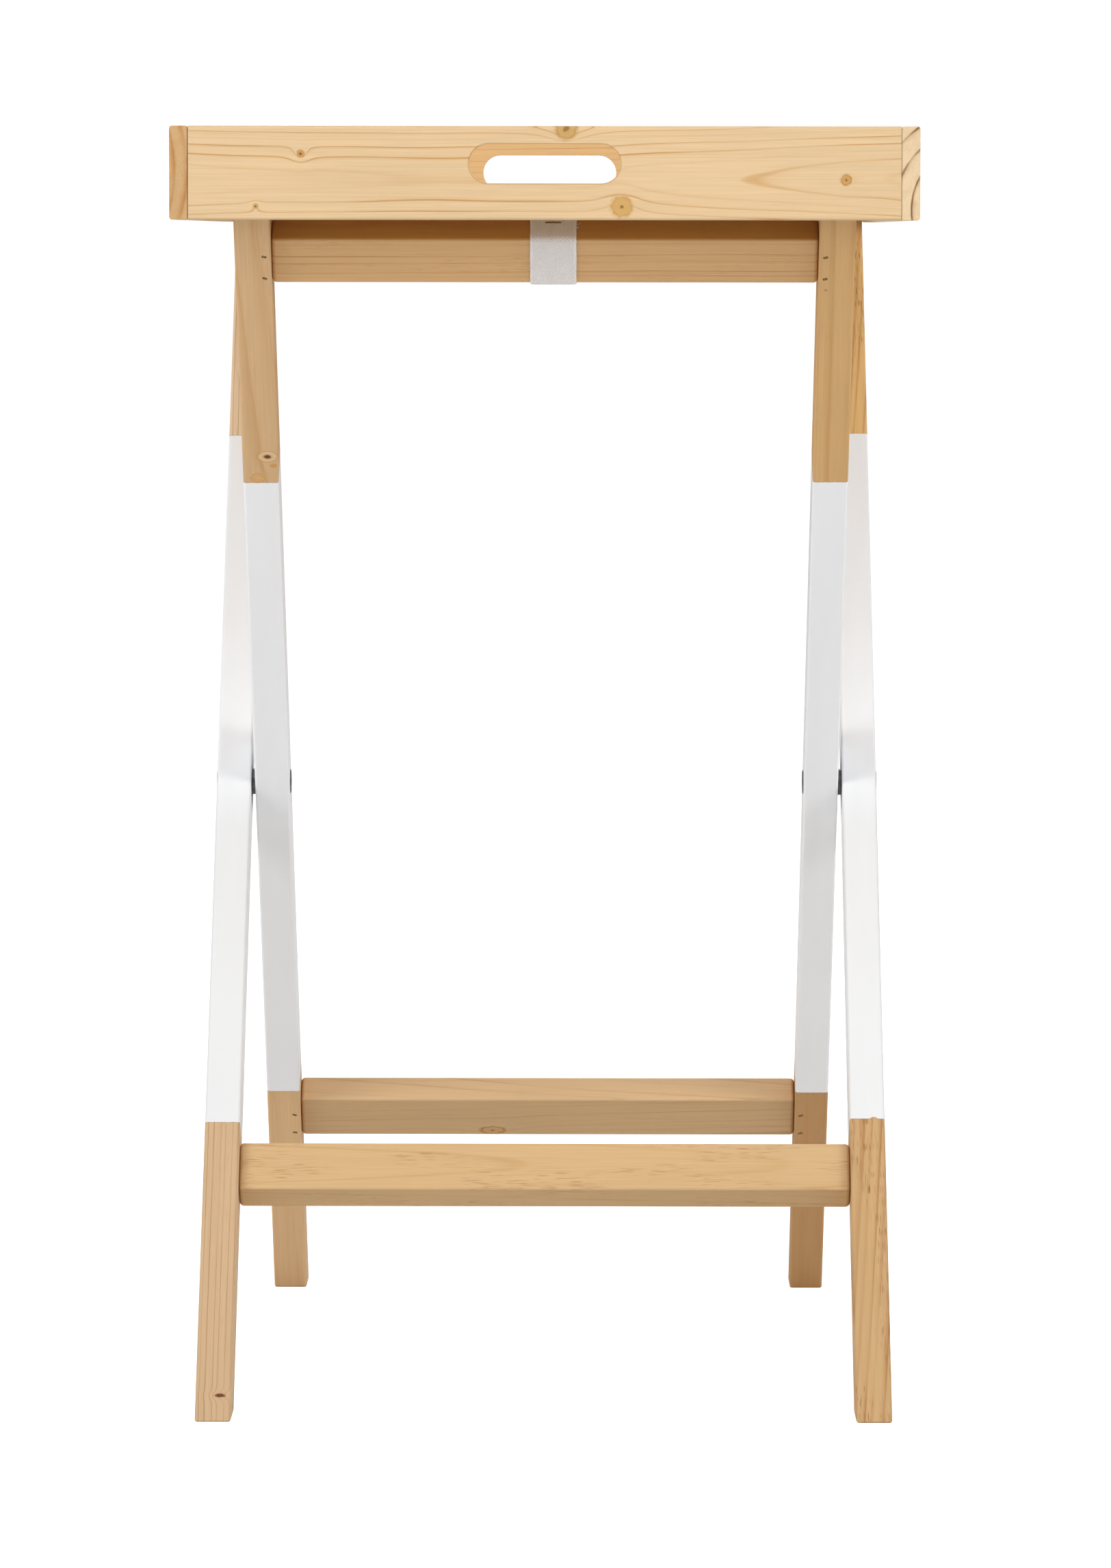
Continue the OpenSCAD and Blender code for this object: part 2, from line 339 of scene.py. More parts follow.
class Shader:
    """A material whose nodes are made by short calls that return their output sockets."""

    def __init__(self, name):
        self.material = bpy.data.materials.new(name)
        self.material.use_nodes = True
        self.tree = self.material.node_tree
        self.surface = self.tree.nodes["Principled BSDF"]

    def link(self, socket, value):
        if isinstance(value, bpy.types.NodeSocket):
            self.tree.links.new(value, socket)
        else:
            socket.default_value = value

    def node(self, kind, inputs, **settings):
        made = self.tree.nodes.new("ShaderNode" + kind)
        for name, value in settings.items():
            setattr(made, name, value)
        for key, value in inputs.items():
            self.link(made.inputs[key], value)
        return made

    def math(self, operation, *values, clamp=False):
        made = self.node("Math", dict(enumerate(values)), operation=operation, use_clamp=clamp)
        return made.outputs[0]

    def plus(self, first, second):
        return self.math("ADD", first, second)

    def minus(self, first, second):
        return self.math("SUBTRACT", first, second)

    def times(self, first, second, clamp=False):
        return self.math("MULTIPLY", first, second, clamp=clamp)

    def over(self, first, second):
        return self.math("DIVIDE", first, second)

    def times_plus(self, first, second, added, clamp=False):
        return self.math("MULTIPLY_ADD", first, second, added, clamp=clamp)

    def length(self, first, second):
        """The length of a flat vector, from its two parts."""
        return self.math("SQRT", self.plus(self.times(first, first), self.times(second, second)))

    def fit(self, value, low, high, to_low=0.0, to_high=1.0):
        """value from low..high to to_low..to_high, clamped, with soft ends."""
        spans = {0: value, 1: low, 2: high, 3: to_low, 4: to_high}
        return self.node("MapRange", spans, interpolation_type="SMOOTHSTEP").outputs[0]

    def mix(self, factor, first, second, blend="MIX"):
        """A mix of two colours."""
        inputs = {0: factor, 6: first, 7: second}
        return self.node("Mix", inputs, data_type="RGBA", blend_type=blend).outputs[2]

    def between(self, factor, first, second):
        """A mix of two numbers."""
        return self.node("Mix", {0: factor, 2: first, 3: second}).outputs[0]

    def stretch(self, vector, scale, shift):
        """vector times scale plus shift, axis by axis."""
        made = self.node("VectorMath", {0: vector, 1: scale, 2: shift}, operation="MULTIPLY_ADD")
        return made.outputs[0]

    def noise(self, vector, scale, shift=(0, 0, 0), detail=2.0, rough=0.5, output="Fac"):
        """Noise of vector times scale plus shift."""
        place = self.stretch(vector, scale, shift)
        inputs = {"Vector": place, "Scale": 1.0, "Detail": detail, "Roughness": rough}
        return self.node("TexNoise", inputs).outputs[output]

    def noise_line(self, value):
        inputs = {"W": value, "Scale": 1.0, "Detail": 1.0}
        return self.node("TexNoise", inputs, noise_dimensions="1D").outputs["Fac"]

    def ramp(self, factor, stops):
        """A colour ramp from (place, colour) stops; a plain number makes a grey."""
        made = self.node("ValToRGB", {0: factor})
        elements = made.color_ramp.elements
        while len(elements) < len(stops):
            elements.new(1.0)
        for element, (place, value) in zip(elements, stops):
            element.position = place
            element.color = value if isinstance(value, tuple) else (value, value, value, 1.0)
        return made

    def split(self, vector):
        return self.node("SeparateXYZ", {0: vector}).outputs

    def own_point(self):
        """The place in the piece's own axes."""
        return self.node("Attribute", {}, attribute_name="own").outputs["Vector"]

    def end_grain(self):
        """1 on faces sawn across the grain, 0 along it."""
        across = self.node("Attribute", {}, attribute_name="end_grain").outputs["Fac"]
        return self.fit(across, 0.55, 0.9)

    def bump(self, height, distance, strength):
        inputs = {"Height": height, "Distance": distance, "Strength": strength}
        return self.node("Bump", inputs).outputs["Normal"]

    def material_with(self, inputs):
        """The material, with these inputs of its surface linked or set."""
        for name, value in inputs.items():
            self.link(self.surface.inputs[name], value)
        return self.material


# ---- Wood ----


def near_knot(s, x, z, knot):
    """Distance from a knot's middle, in knot radii, and how far the rings bend round it."""
    dx = s.over(s.minus(x, knot["across"]), knot["radius"])
    dz = s.over(s.minus(z, knot["along"]), knot["radius"] * knot["oval"])
    near = s.length(dx, dz)
    fall = s.math("POWER", s.over(near, knot["reach"]), 3.0)
    return near, s.over(knot["pull"], s.plus(1.0, fall))


def pith_distance(s, point, board):
    """Distance from the pith, whose line leans, bows and wanders along the board."""
    x, y, z = s.split(point)
    drift = s.noise(point, (22, 22, 6.5), (board["seed"],) * 3, output="Color")
    drift_x, drift_y, _ = s.split(s.stretch(drift, (1, 1, 1), (-0.5, -0.5, -0.5)))
    offsets = []
    for axis, (place, shift) in enumerate(((x, drift_x), (y, drift_y))):
        centre = s.times_plus(z, board["tilt"][axis], board["pith"][axis])
        if axis == 1:
            centre = s.plus(centre, s.times(s.times(z, z), board["bow"]))
        offsets.append(s.times_plus(shift, board["wander"], s.minus(place, centre)))
    return s.length(*offsets)


def growth_rings(s, point, board, bends):
    """How late in its year each point grew, from 0 to 1, and how strong that ring is."""
    seed = board["seed"]
    radius = pith_distance(s, point, board)
    for bend in bends:
        radius = s.plus(radius, bend)
    count = s.over(s.minus(radius, board["line"]), board["ring"])
    uneven = s.minus(s.noise_line(s.times_plus(count, 0.7, seed)), 0.5)
    count = s.times_plus(uneven, board["uneven"], s.plus(count, LINE_AT))
    late = s.ramp(s.math("FRACT", count), board["rings"]).outputs["Color"]
    year = s.math("FLOOR", count)
    luck = s.node("TexWhiteNoise", {"W": year}, noise_dimensions="1D").outputs["Value"]
    strength = s.fit(luck, 0.0, 1.0, board["faintest"], 1.0)
    fade = s.noise(point, (60, 60, 9), (seed, 0, seed))
    return late, s.times(strength, s.fit(fade, 0.36, 0.58, 0.45, 1.0))


def resin_dashes(s, point, seed):
    """Short resin canals, in clusters."""
    dash = s.noise(point, (3200, 3200, 110), (seed, seed, 0), detail=0.0)
    cluster = s.noise(point, (70, 70, 16), (0, seed, seed), detail=1.0)
    return s.times(s.fit(dash, 0.62, 0.76), s.fit(cluster, 0.44, 0.62))


def knot_colours(s, colour, point, near, knot):
    """Paints one knot over the wood: a small dark core, brown rings and a thin darker rim."""
    ragged = s.noise(point, (700, 700, 500))
    near = s.times_plus(s.minus(ragged, 0.5), 0.5, near)
    core, tone, rim, halo = (srgb(*knot[part]) for part in ("heart", "tone", "rim", "halo"))
    size, pale = knot["core"] / 2, knot["pale"]
    stops = (
        (0.0, core),
        (size, core),
        (size + 0.04, tone),
        (0.20, tone),
        (0.235, rim),
        (0.265, rim[:3] + (0.5,)),
        (0.36, halo[:3] + (pale,)),
        (0.56, halo[:3] + (pale,)),
        (0.66, rim[:3] + (0.6 * pale,)),
        (0.80, rim[:3] + (0.0,)),
    )
    ramp = s.ramp(s.over(near, KNOT_SPAN), stops)
    return s.mix(ramp.outputs["Alpha"], colour, ramp.outputs["Color"])


def joint_line(s, y, side, strength):
    """The dark hairline where this board's end grain meets the handle board beside it: partly a
    glue line, partly painted shade of the gap between the boards.
    """
    return s.fit(s.times(y, side), JOINT_AT, JOINT_AT + 0.35 * MM, 0.0, strength)


def slot_arris_shade(s, x, z, middle, straight, radius):
    """A thin darker line along the arris of a slot whose ends are half round: painted shade of the
    slot's eased edge.
    """
    past = s.math("MAXIMUM", s.minus(s.math("ABSOLUTE", z), straight), 0.0)
    reach = s.length(past, s.minus(x, middle))
    return s.fit(s.math("ABSOLUTE", s.minus(reach, radius)), 0.0, 0.4 * MM, 0.5, 0.0)


def wood_tone(s, point, board, late, end):
    """Early and late wood, and the painted light that some boards carry: one narrow face of a rail
    tinted darker or lighter, and a leg paler towards its top.
    """
    x, _, z = s.split(point)
    streak = s.noise(point, (170, 170, 3.0), (0, board["seed"], 0))
    tone = s.times(late, s.fit(end, 0.0, 1.0, board["contrast"], 1.0))
    tone = s.times_plus(s.minus(streak, 0.5), board["streaks"], tone, clamp=True)
    late_wood = srgb(*board["late"])
    colour = s.mix(tone, srgb(*board["early"]), late_wood)
    # Painted light and shade: one narrow face of a rail is tinted. On the inner top rail it is
    # darker and more orange, where shade falls under the tray; on the inner bottom rail it is
    # paler, for light from above.
    if "heartwood" in board:
        start, heart = board["heartwood"]
        inner = s.mix(tone, srgb(*heart), late_wood)
        colour = s.mix(s.fit(x, start, start + FACE_LIGHT_FADE), colour, inner)
    # Painted light: a leg's wood turns paler towards its top, against the tray's shade on it.
    if "top" in board:
        top = s.mix(tone, srgb(*board["top"]), late_wood)
        colour = s.mix(s.fit(z, -LIT_TOP_FADE, LIT_TOP_FADE), colour, top)
    return colour


def wood_look(s, board):
    """Colour, height and fibres of bare pine, with rings, resin dashes, knots and end grain."""
    seed = board["seed"]
    point = s.own_point()
    x, y, z = s.split(point)
    around = [near_knot(s, x, z, knot) for knot in board["knots"]]
    late, strength = growth_rings(s, point, board, [bend for _, bend in around])
    late = s.times(late, strength)
    fibre = s.noise(point, (1300, 1300, 22), (seed, 0, 0), detail=3.0, rough=0.6)
    cloud = s.noise(point, (14, 14, 5), (0, 0, seed), detail=1.0)
    dash = resin_dashes(s, point, seed)
    end = s.end_grain()

    colour = wood_tone(s, point, board, late, end)
    shade = s.times(s.times_plus(fibre, 0.28, 0.86), s.times_plus(cloud, 0.16, 0.92))
    grey = s.node("CombineColor", {0: shade, 1: shade, 2: shade}).outputs[0]
    colour = s.mix(1.0, colour, grey, "MULTIPLY")
    colour = s.mix(s.times(dash, board["dashes"]), colour, srgb(*RESIN))
    for knot, (near, _) in zip(board["knots"], around):
        colour = knot_colours(s, colour, point, near, knot)
    colour = s.mix(end, colour, srgb(*board["end"]), "MULTIPLY")
    if "joint" in board:
        # A dark line at the joint: partly glue line, partly painted shade of the gap.
        colour = s.mix(s.times(end, joint_line(s, y, *board["joint"])), colour, srgb(*JOINT_DARK))
    # Painted shade: a thin darker line along the slot's eased edge.
    if "slot" in board:
        colour = s.mix(slot_arris_shade(s, x, z, *board["slot"]), colour, srgb(*ARRIS_SHADE))

    height = s.times_plus(dash, -0.6, s.times_plus(late, 0.5, s.times(fibre, 0.6)))
    return colour, height, fibre


def sanded(s, fibre):
    """The roughness of bare pine."""
    return s.fit(fibre, 0.2, 0.8, 0.52, 0.70)


def bare_wood(name, board):
    """Sanded bare pine."""
    s = Shader(name)
    colour, height, fibre = wood_look(s, board)
    return s.material_with({
        "Base Color": colour,
        "Roughness": sanded(s, fibre),
        "Normal": s.bump(height, WOOD_RELIEF, 0.6),
        "Specular IOR Level": 0.25,
    })


def painted_band(s, height, board):
    """Where the paint is, its rim, its colour and the height of its skin."""
    point = s.own_point()
    x, _, z = s.split(point)
    down, up = board["paint"]
    edge = s.times(s.minus(s.noise(point, (900, 900, 900)), 0.5), 0.7 * MM)
    below_top = s.minus(s.plus(edge, up), z)
    above_end = s.plus(s.plus(edge, down), z)
    if "nick" in board:
        away = s.math("ABSOLUTE", s.minus(x, board["nick"]))
        above_end = s.minus(above_end, s.fit(away, 0.8 * MM, 2.2 * MM, 1.0 * MM, 0.0))
    depth = s.math("MINIMUM", below_top, above_end)
    inside = s.times(depth, 1 / PAINT_EDGE, clamp=True)
    rim = s.fit(s.math("ABSOLUTE", depth), 0.0, 0.5 * MM, 0.30, 0.0)
    skin = s.noise(point, (420, 420, 110), detail=3.0, rough=0.55)
    wear = s.noise(point, (60, 60, 9))
    # Painted light: the coat turns paler above the pivot and darker below it, against the shade
    # that the tray and the crossing legs cast on the upper legs. On the outer legs the upper coat
    # is also cooler, against warm light bounced off the wood.
    upper = srgb(*board.get("upper_coat", PAINT))
    coat = s.mix(s.fit(z, -50 * MM, 20 * MM), srgb(*board["coat"]), upper)
    colour = s.mix(s.fit(wear, 0.3, 0.7, 0.03, 0.0), coat, srgb(*WORN_PAINT))
    proud = s.times_plus(height, 0.25, s.times_plus(skin, 0.5, 1.2))
    return inside, rim, colour, proud


def painted_wood(name, board):
    """Bare pine with a band of matt white paint along the middle of the leg."""
    s = Shader(name)
    wood, height, fibre = wood_look(s, board)
    inside, rim, paint, proud = painted_band(s, height, board)
    return s.material_with({
        "Base Color": s.mix(rim, s.mix(inside, wood, paint), srgb(*PAINT_RIM)),
        "Roughness": s.between(inside, sanded(s, fibre), 0.42),
        "Normal": s.bump(s.between(inside, height, proud), WOOD_RELIEF, 0.6),
        "Specular IOR Level": 0.4,
    })


# A ring's late wood is a thin dark line, which comes on slowly and ends sharply, at LINE_AT.
LINE_AT = 0.93
RING_STOPS = (
    (0.0, 0.12), (0.08, 0.0), (0.64, 0.03), (0.83, 0.25), (0.91, 1.0), (0.96, 0.85), (1.0, 0.12),
)
SOFT_RINGS = (
    (0.0, 0.55), (0.12, 0.10), (0.30, 0.0), (0.55, 0.10), (0.80, 0.60), (0.93, 1.0), (1.0, 0.55),
)
FACE_LIGHT_FADE = 1.5 * MM
WOOD_RELIEF = 0.12 * MM
RESIN = (150, 92, 48)

# The knots' colour stops are spread over this many knot radii.
KNOT_SPAN = 4.0

# How far off a side board's middle its joint shows, the tone of that joint (partly glue line,
# partly painted shade), and the painted shade along a slot's arris.
JOINT_AT = 4.35 * MM
JOINT_DARK = (62, 38, 18)
ARRIS_SHADE = (156, 106, 56)

# The legs. Some are paler towards their top, which is painted light against the shade that the tray
# casts on their upper part; the change hides under the paint.
LIT_TOP_FADE = 200 * MM
# The paler upper coat of the legs, and a paler, cooler one for the outer legs: painted light
# against the shade under the tray and the warm bounced light.
PAINT = (243, 244, 246)
COOLED_LIT_PAINT = (243, 245, 248)
WORN_PAINT = (120, 116, 110)
PAINT_RIM = (120, 92, 60)
PAINT_EDGE = 0.15 * MM

PALE = (219, 189, 147)
AMBER = (193, 141, 76)
TAN = (213, 176, 130)
HONEY = (192, 142, 86)

# What a knot or a board has unless it says otherwise. A knot's oval is its length over its width,
# reach how many radii away the rings still bend, core the size of its dark middle and pale the
# strength of the pale halo round it.
PLAIN_KNOT = {
    "oval": 1.0, "reach": 2.0, "core": 0.12, "pale": 0.0,
    "heart": (136, 94, 50), "tone": (204, 160, 98), "rim": (186, 140, 82), "halo": (224, 192, 146),
}
PLAIN_BOARD = {
    "tilt": (0.0, 0.0), "bow": 0.0, "line": 0.0, "wander": 2 * MM, "uneven": 0.8, "faintest": 0.35,
    "rings": RING_STOPS, "contrast": 1.0, "streaks": 0.45, "dashes": 0.1, "end": (232, 214, 194),
    "knots": (),
}


def knot(across, along, radius, pull, **looks):
    """A knot's place and size in mm, how far it pulls the rings round it in mm, and its looks."""
    sizes = {"across": across * MM, "along": along * MM, "radius": radius * MM, "pull": pull * MM}
    return {**PLAIN_KNOT, **sizes, **looks}


def board(pith, ring, **facts):
    """One board's wood. pith is where the tree's middle passes, ring the yearly growth, in mm."""
    place = tuple(side * MM for side in pith)
    return {**PLAIN_BOARD, "pith": place, "ring": ring * MM, **facts}


# tilt and bow say how the pith runs along the board. line is the distance from the pith of one
# late-wood line.
TRAY_FRONT = board(
    pith=(-3.2, -25), tilt=(0.0, 0.008), bow=0.07, ring=2.2, line=28.1 * MM,
    uneven=0.5, wander=2.4 * MM, faintest=0.18, seed=3.1, streaks=0.3, dashes=0.0,
    early=PALE, late=AMBER,
    # slot: where a thin line of painted shade runs along the slot's arris.
    slot=(SLOT_RISE - BOARD_H / 2, (SLOT_LEN - SLOT_H) / 2, SLOT_H / 2 + SLOT_R / 2),
    knots=(
        knot(10.2, -130, 2.0, 2.6, core=0.16, tone=(196, 148, 88)),
        knot(-17.8, -154, 1.3, 1.4, core=0.2),
        knot(23.5, 11.6, 5.5, 3.0, core=0.10,
             heart=(150, 112, 62), tone=(196, 158, 98), rim=(184, 140, 82)),
        knot(-17.9, 41, 5.4, 2.0, core=0.05, tone=(203, 162, 98), rim=(196, 152, 90)),
        knot(-3.6, 160.6, 2.7, -1.0, core=0.10, tone=(198, 152, 90), rim=(178, 128, 70)),
    ),
)
TRAY_REAR = board(
    pith=(-40, 24), tilt=(0.02, 0.02), ring=3.3, seed=7.4, dashes=0.0,
    early=(218, 182, 132), late=(196, 140, 76),
    knots=(knot(4, -118, 4.2, 4.0, core=0.1), knot(-14, 92, 2.4, -2.5, core=0.16)),
)
TRAY_LEFT = board(
    pith=(4, -70), tilt=(0.01, 0.02), ring=6.5, line=74 * MM, uneven=0.1, wander=1 * MM,
    # joint: a dark line at the joint, partly glue line, partly painted shade.
    faintest=0.9, seed=11.7, rings=SOFT_RINGS, joint=(1, 0.9),
    early=(224, 191, 146), late=(200, 146, 80), end=(229, 218, 204),
    knots=(knot(-8, 95, 4.6, 5.0, core=0.08), knot(14, -170, 2.6, 3.0, core=0.16)),
)
TRAY_RIGHT = board(
    pith=(-17.9, 32.5), tilt=(0.006, -0.012), ring=9, line=36.2 * MM, seed=15.2, uneven=0.2,
    # joint: a dark line at the joint, partly glue line, partly painted shade.
    faintest=1.0, contrast=0.5, joint=(-1, 0.5),
    early=(232, 208, 170), late=(134, 88, 40), end=(247, 243, 240),
    knots=(knot(7, -60, 3.6, 4.0, core=0.1),),
)
TRAY_PANEL = board(
    pith=(30, -60), tilt=(0.05, 0.05), ring=4.2, seed=21.0, wander=9 * MM,
    early=(222, 193, 151), late=(198, 156, 100),
    knots=(knot(90, -120, 6, 9, core=0.08), knot(-60, 150, 4.5, 7, core=0.1)),
)
OUTER_LEFT = board(
    pith=(-110, -15), ring=3.3, seed=25.3, faintest=0.6, dashes=0.1,
    # Painted light: the wood turns paler towards the top, and the coat paler and cooler above the
    # pivot.
    early=(202, 170, 132), late=(160, 115, 70), top=(226, 198, 164),
    paint=(243 * MM, 240 * MM), coat=(228, 229, 230), upper_coat=COOLED_LIT_PAINT,
    knots=(
        knot(3.6, -419, 2.9, 3.0, oval=0.42, core=0.3,
             heart=(96, 58, 32), tone=(136, 84, 48), rim=(160, 104, 60)),
    ),
)
OUTER_RIGHT = board(
    pith=(-60, -15), tilt=(0.07, 0.0), ring=5, seed=29.9, dashes=1.2, rings=SOFT_RINGS,
    # Painted light: the wood turns paler towards the top, and the coat paler and cooler above the
    # pivot.
    early=(199, 162, 114), late=(170, 119, 66), top=(228, 186, 124),
    paint=(240 * MM, 242 * MM), coat=(231, 232, 233), upper_coat=COOLED_LIT_PAINT, nick=3.7 * MM,
)
INNER_LEFT = board(
    pith=(-60, -15), tilt=(-0.073, 0.0), ring=14, line=78.5 * MM, uneven=0.2, seed=33.6,
    rings=SOFT_RINGS, contrast=0.8, early=(214, 176, 130), late=(196, 146, 90),
    # Painted light: the coat below the pivot is darker than the paler coat above it.
    paint=(240 * MM, 241 * MM), coat=(236, 236, 237),
    knots=(
        knot(4.1, 260, 2.1, 4.0, oval=0.7, core=0.34, pale=0.8,
             heart=(96, 62, 36), tone=(150, 104, 60), rim=(196, 146, 88)),
        knot(7.2, 253.5, 1.7, 1.0, oval=0.8,
             heart=(204, 148, 80), tone=(208, 154, 88), rim=(200, 142, 76)),
        knot(-1.6, 244.5, 3.8, -2.0, oval=0.9,
             heart=(214, 172, 118), tone=(212, 166, 106), rim=(206, 154, 92)),
    ),
)
INNER_RIGHT = board(
    pith=(-80, -15), ring=9, line=79 * MM, seed=38.4, rings=SOFT_RINGS, contrast=0.7,
    # Painted light: the wood turns paler towards the top and the coat paler above the pivot; the
    # wood is darker towards its foot.
    early=(187, 143, 93), late=(184, 132, 74), top=(211, 169, 113),
    paint=(240.5 * MM, 242 * MM), coat=(238, 238, 238),
    knots=(
        knot(-5.6, 379.6, 0.9, 0.0, oval=0.5, core=0.3, heart=(156, 114, 66), tone=(172, 130, 80)),
    ),
)
OUTER_TOP = board(
    pith=(40, 60), tilt=(0.01, 0.02), ring=3.2, seed=42.5, early=TAN, late=HONEY,
)
OUTER_BOTTOM = board(
    pith=(1, -11.35), tilt=(0.0, -0.034), ring=5, line=20 * MM, uneven=0.2, seed=46.1,
    dashes=0.5, contrast=0.5, streaks=0.3, early=(209, 174, 127), late=(184, 136, 80),
)
INNER_TOP = board(
    pith=(-90, 8), tilt=(0.006, 0.0), ring=5.6, seed=50.8, uneven=1.4, wander=4 * MM,
    contrast=0.75, dashes=0.3, early=(213, 171, 120), late=(176, 120, 66),
    # Upper narrow face tinted darker and more orange: partly the wood's own orange, partly painted
    # shade under the tray.
    heartwood=(14 * MM, (188, 134, 64)),
)
INNER_BOTTOM = board(
    pith=(-50, -30), tilt=(0.04, 0.0), ring=3.4, seed=54.3, contrast=0.6,
    # Top face tinted paler: painted light, for the light from above.
    early=(199, 165, 121), late=(169, 123, 74), heartwood=(14 * MM, (226, 190, 146)),
    knots=(
        knot(-11, -33, 3.2, 3.0, oval=2.2, core=0.05, reach=2.6,
             tone=(192, 152, 102), rim=(160, 116, 70)),
    ),
)

# ---- Metal and webbing ----


def dull_metal(name, dark, light, metallic, rough):
    """Dull plated steel, with cloudy patches and fine scuffs."""
    s = Shader(name)
    point = s.own_point()
    cloud = s.noise(point, (420, 420, 420), detail=4.0, rough=0.6)
    scuff = s.noise(point, (2600, 2600, 500), detail=3.0, rough=0.7)
    return s.material_with({
        "Base Color": s.mix(s.fit(cloud, 0.3, 0.7), srgb(*dark), srgb(*light)),
        "Roughness": s.fit(scuff, 0.25, 0.75, rough - 0.1, rough + 0.1),
        "Normal": s.bump(scuff, 0.03 * MM, 0.5),
        "Metallic": metallic,
    })


def rib_height(s, across, along):
    """Slanted ribs that turn back at each column, with a shallow seam between columns."""
    from_left = s.plus(across, 20 * COLUMN)
    slant = s.plus(along, s.times(s.math("PINGPONG", from_left, COLUMN), RIB_SLOPE))
    wave = s.math("SINE", s.times(slant, 2 * math.pi / RIB))
    seam = s.fit(s.math("PINGPONG", from_left, COLUMN / 2), 0.0, 0.22 * MM)
    return s.times(s.times_plus(wave, 0.5, 0.5), s.times_plus(seam, 0.3, 0.7))


def edge_height(s, across, along):
    """The webbing's plain edge: cords along it, crossed by the weft."""
    cords = s.math("SINE", s.times(across, 2 * math.pi / EDGE_CORD))
    picks = s.math("SINE", s.times(along, 2 * math.pi / EDGE_PICK))
    return s.times_plus(s.plus(cords, picks), 0.25, 0.5)


def herringbone(name):
    """Cotton webbing in a herringbone weave, with a plain edge on both sides."""
    s = Shader(name)
    place = s.node("UVMap", {}, uv_map="weave").outputs[0]
    across, along, _ = s.split(place)
    edge = s.fit(s.math("ABSOLUTE", across), EDGE_AT, EDGE_AT + 0.3 * MM)
    weave = s.between(edge, rib_height(s, across, along), edge_height(s, across, along))
    fuzz = s.noise(place, (5200, 5200, 1), detail=3.0, rough=0.7)
    patch = s.noise(place, (160, 60, 1))
    height = s.times_plus(fuzz, 0.3, weave)
    yarn = s.mix(s.fit(patch, 0.3, 0.7), srgb(246, 241, 239), srgb(251, 248, 247))
    return s.material_with({
        # Painted shade: the hollows between the ribs are coloured darker than the yarn.
        "Base Color": s.mix(s.fit(height, 0.05, 0.75), srgb(208, 197, 191), yarn),
        "Roughness": s.fit(fuzz, 0.2, 0.8, 0.80, 0.95),
        "Normal": s.bump(height, 0.30 * MM, 0.7),
        "Specular IOR Level": 0.2,
        "Sheen Weight": 0.25,
        "Sheen Roughness": 0.6,
    })


def cotton_thread(name):
    """A stray cotton thread, twisted from finer ones."""
    s = Shader(name)
    twist = s.noise(s.own_point(), (4000, 4000, 1500))
    return s.material_with({
        "Base Color": s.mix(twist, srgb(206, 194, 180), srgb(234, 226, 214)),
        "Roughness": 0.9,
        "Normal": s.bump(twist, 0.1 * MM, 0.6),
    })


# ---- Brads and their holes ----


def brad_axes(place, inward, spin):
    """Axes of a brad driven in at place: Z points out of the wood."""
    out = -Vector(inward)
    turn = out.to_track_quat("Z", "Y").to_matrix().to_4x4()
    return Matrix.Translation(place) @ turn @ Matrix.Rotation(math.radians(spin), 4, "Z")


def add_brad_hole(mesh, axes):
    section = round_rect(BRAD_W + 2 * HOLE_PLAY, BRAD_T + 2 * HOLE_PLAY, 0.5 * MM)
    add_loft(mesh, [[axes @ Vector((x, y, z)) for x, y in section] for z in (-HOLE_D, PAST)])


def add_brad(mesh, axes, length):
    rings = []
    for inset, rise in reversed(arc_steps(BRAD_EASE)):
        section = round_rect(BRAD_W - 2 * inset, BRAD_T - 2 * inset, BRAD_R)
        rings.append([axes @ Vector((x, y, -BRAD_SINK - rise)) for x, y in section])
    section = round_rect(BRAD_W, BRAD_T, BRAD_R)
    add_loft(mesh, [[axes @ Vector((x, y, -length)) for x, y in section]] + rings)


def rail_brads(body, side):
    """The brads of one leg, in its frame's axes: two through each rail tenon."""
    x = side * (half_width(body) - LEG_W + RAIL_BRAD_INSET)
    lower = underside(body)
    chance = random.Random(f"{body}{side}")
    found = []
    for which in ("top_rail", "bottom_rail"):
        middle = rail_height(body, which)
        for step in (-1, 1):
            place = (x, lower * LEG_D / 2, middle + step * BRAD_GAP / 2)
            found.append(brad_axes(place, (0, -lower, 0), 180 + side * chance.uniform(8, 28)))
    return found


def corner_brads(side):
    """The brads of one side board, in the shared frame: two into each handle board."""
    x = side * abs(side_lo.x)
    chance = random.Random(side)
    found = []
    for end in (-1, 1):
        y = end * (TRAY_LEN - BOARD_T) / 2
        for step in (-1, 1):
            place = (x, y, TRAY_MID + step * BOARD_H / 4)
            found.append(brad_axes(place, (-side, 0, 0), chance.uniform(-25, 25)))
    return found


# ---- Stand ----


def leg_cutter(body, side, middle):
    """What is cut out of a leg, in its own axes: the pivot's bore, two mortises and brad holes."""
    cut = bmesh.new()
    outward = side * underside(body)
    face = Matrix.Translation((0, 0, -PIVOT_Z)) @ facing(outward, outward * LEG_W / 2)
    rim = HEAD_R + HEAD_PLAY
    ease = 0.3 * MM
    bore = ((SLEEVE_R, -LEG_W - PAST), (SLEEVE_R, -HEAD_SINK), (rim, -HEAD_SINK), (rim, -ease))
    add_lathe(cut, bore + ((rim + ease, 0), (rim + ease + PAST, PAST)), face)
    hole = round_rect(TENON_T + MORTISE_PLAY, TENON_H + MORTISE_PLAY, TENON_R)
    for which in ("top_rail", "bottom_rail"):
        z = rail_height(body, which)
        ends = (-side * (LEG_W / 2 - TENON_LEN - MORTISE_PLAY), -side * (LEG_W / 2 + PAST))
        add_loft(cut, [[(x, a, z + b) for a, b in hole] for x in ends])
    for brad in rail_brads(body, side):
        add_brad_hole(cut, Matrix.Translation((-middle, 0, 0)) @ brad)
    return cut


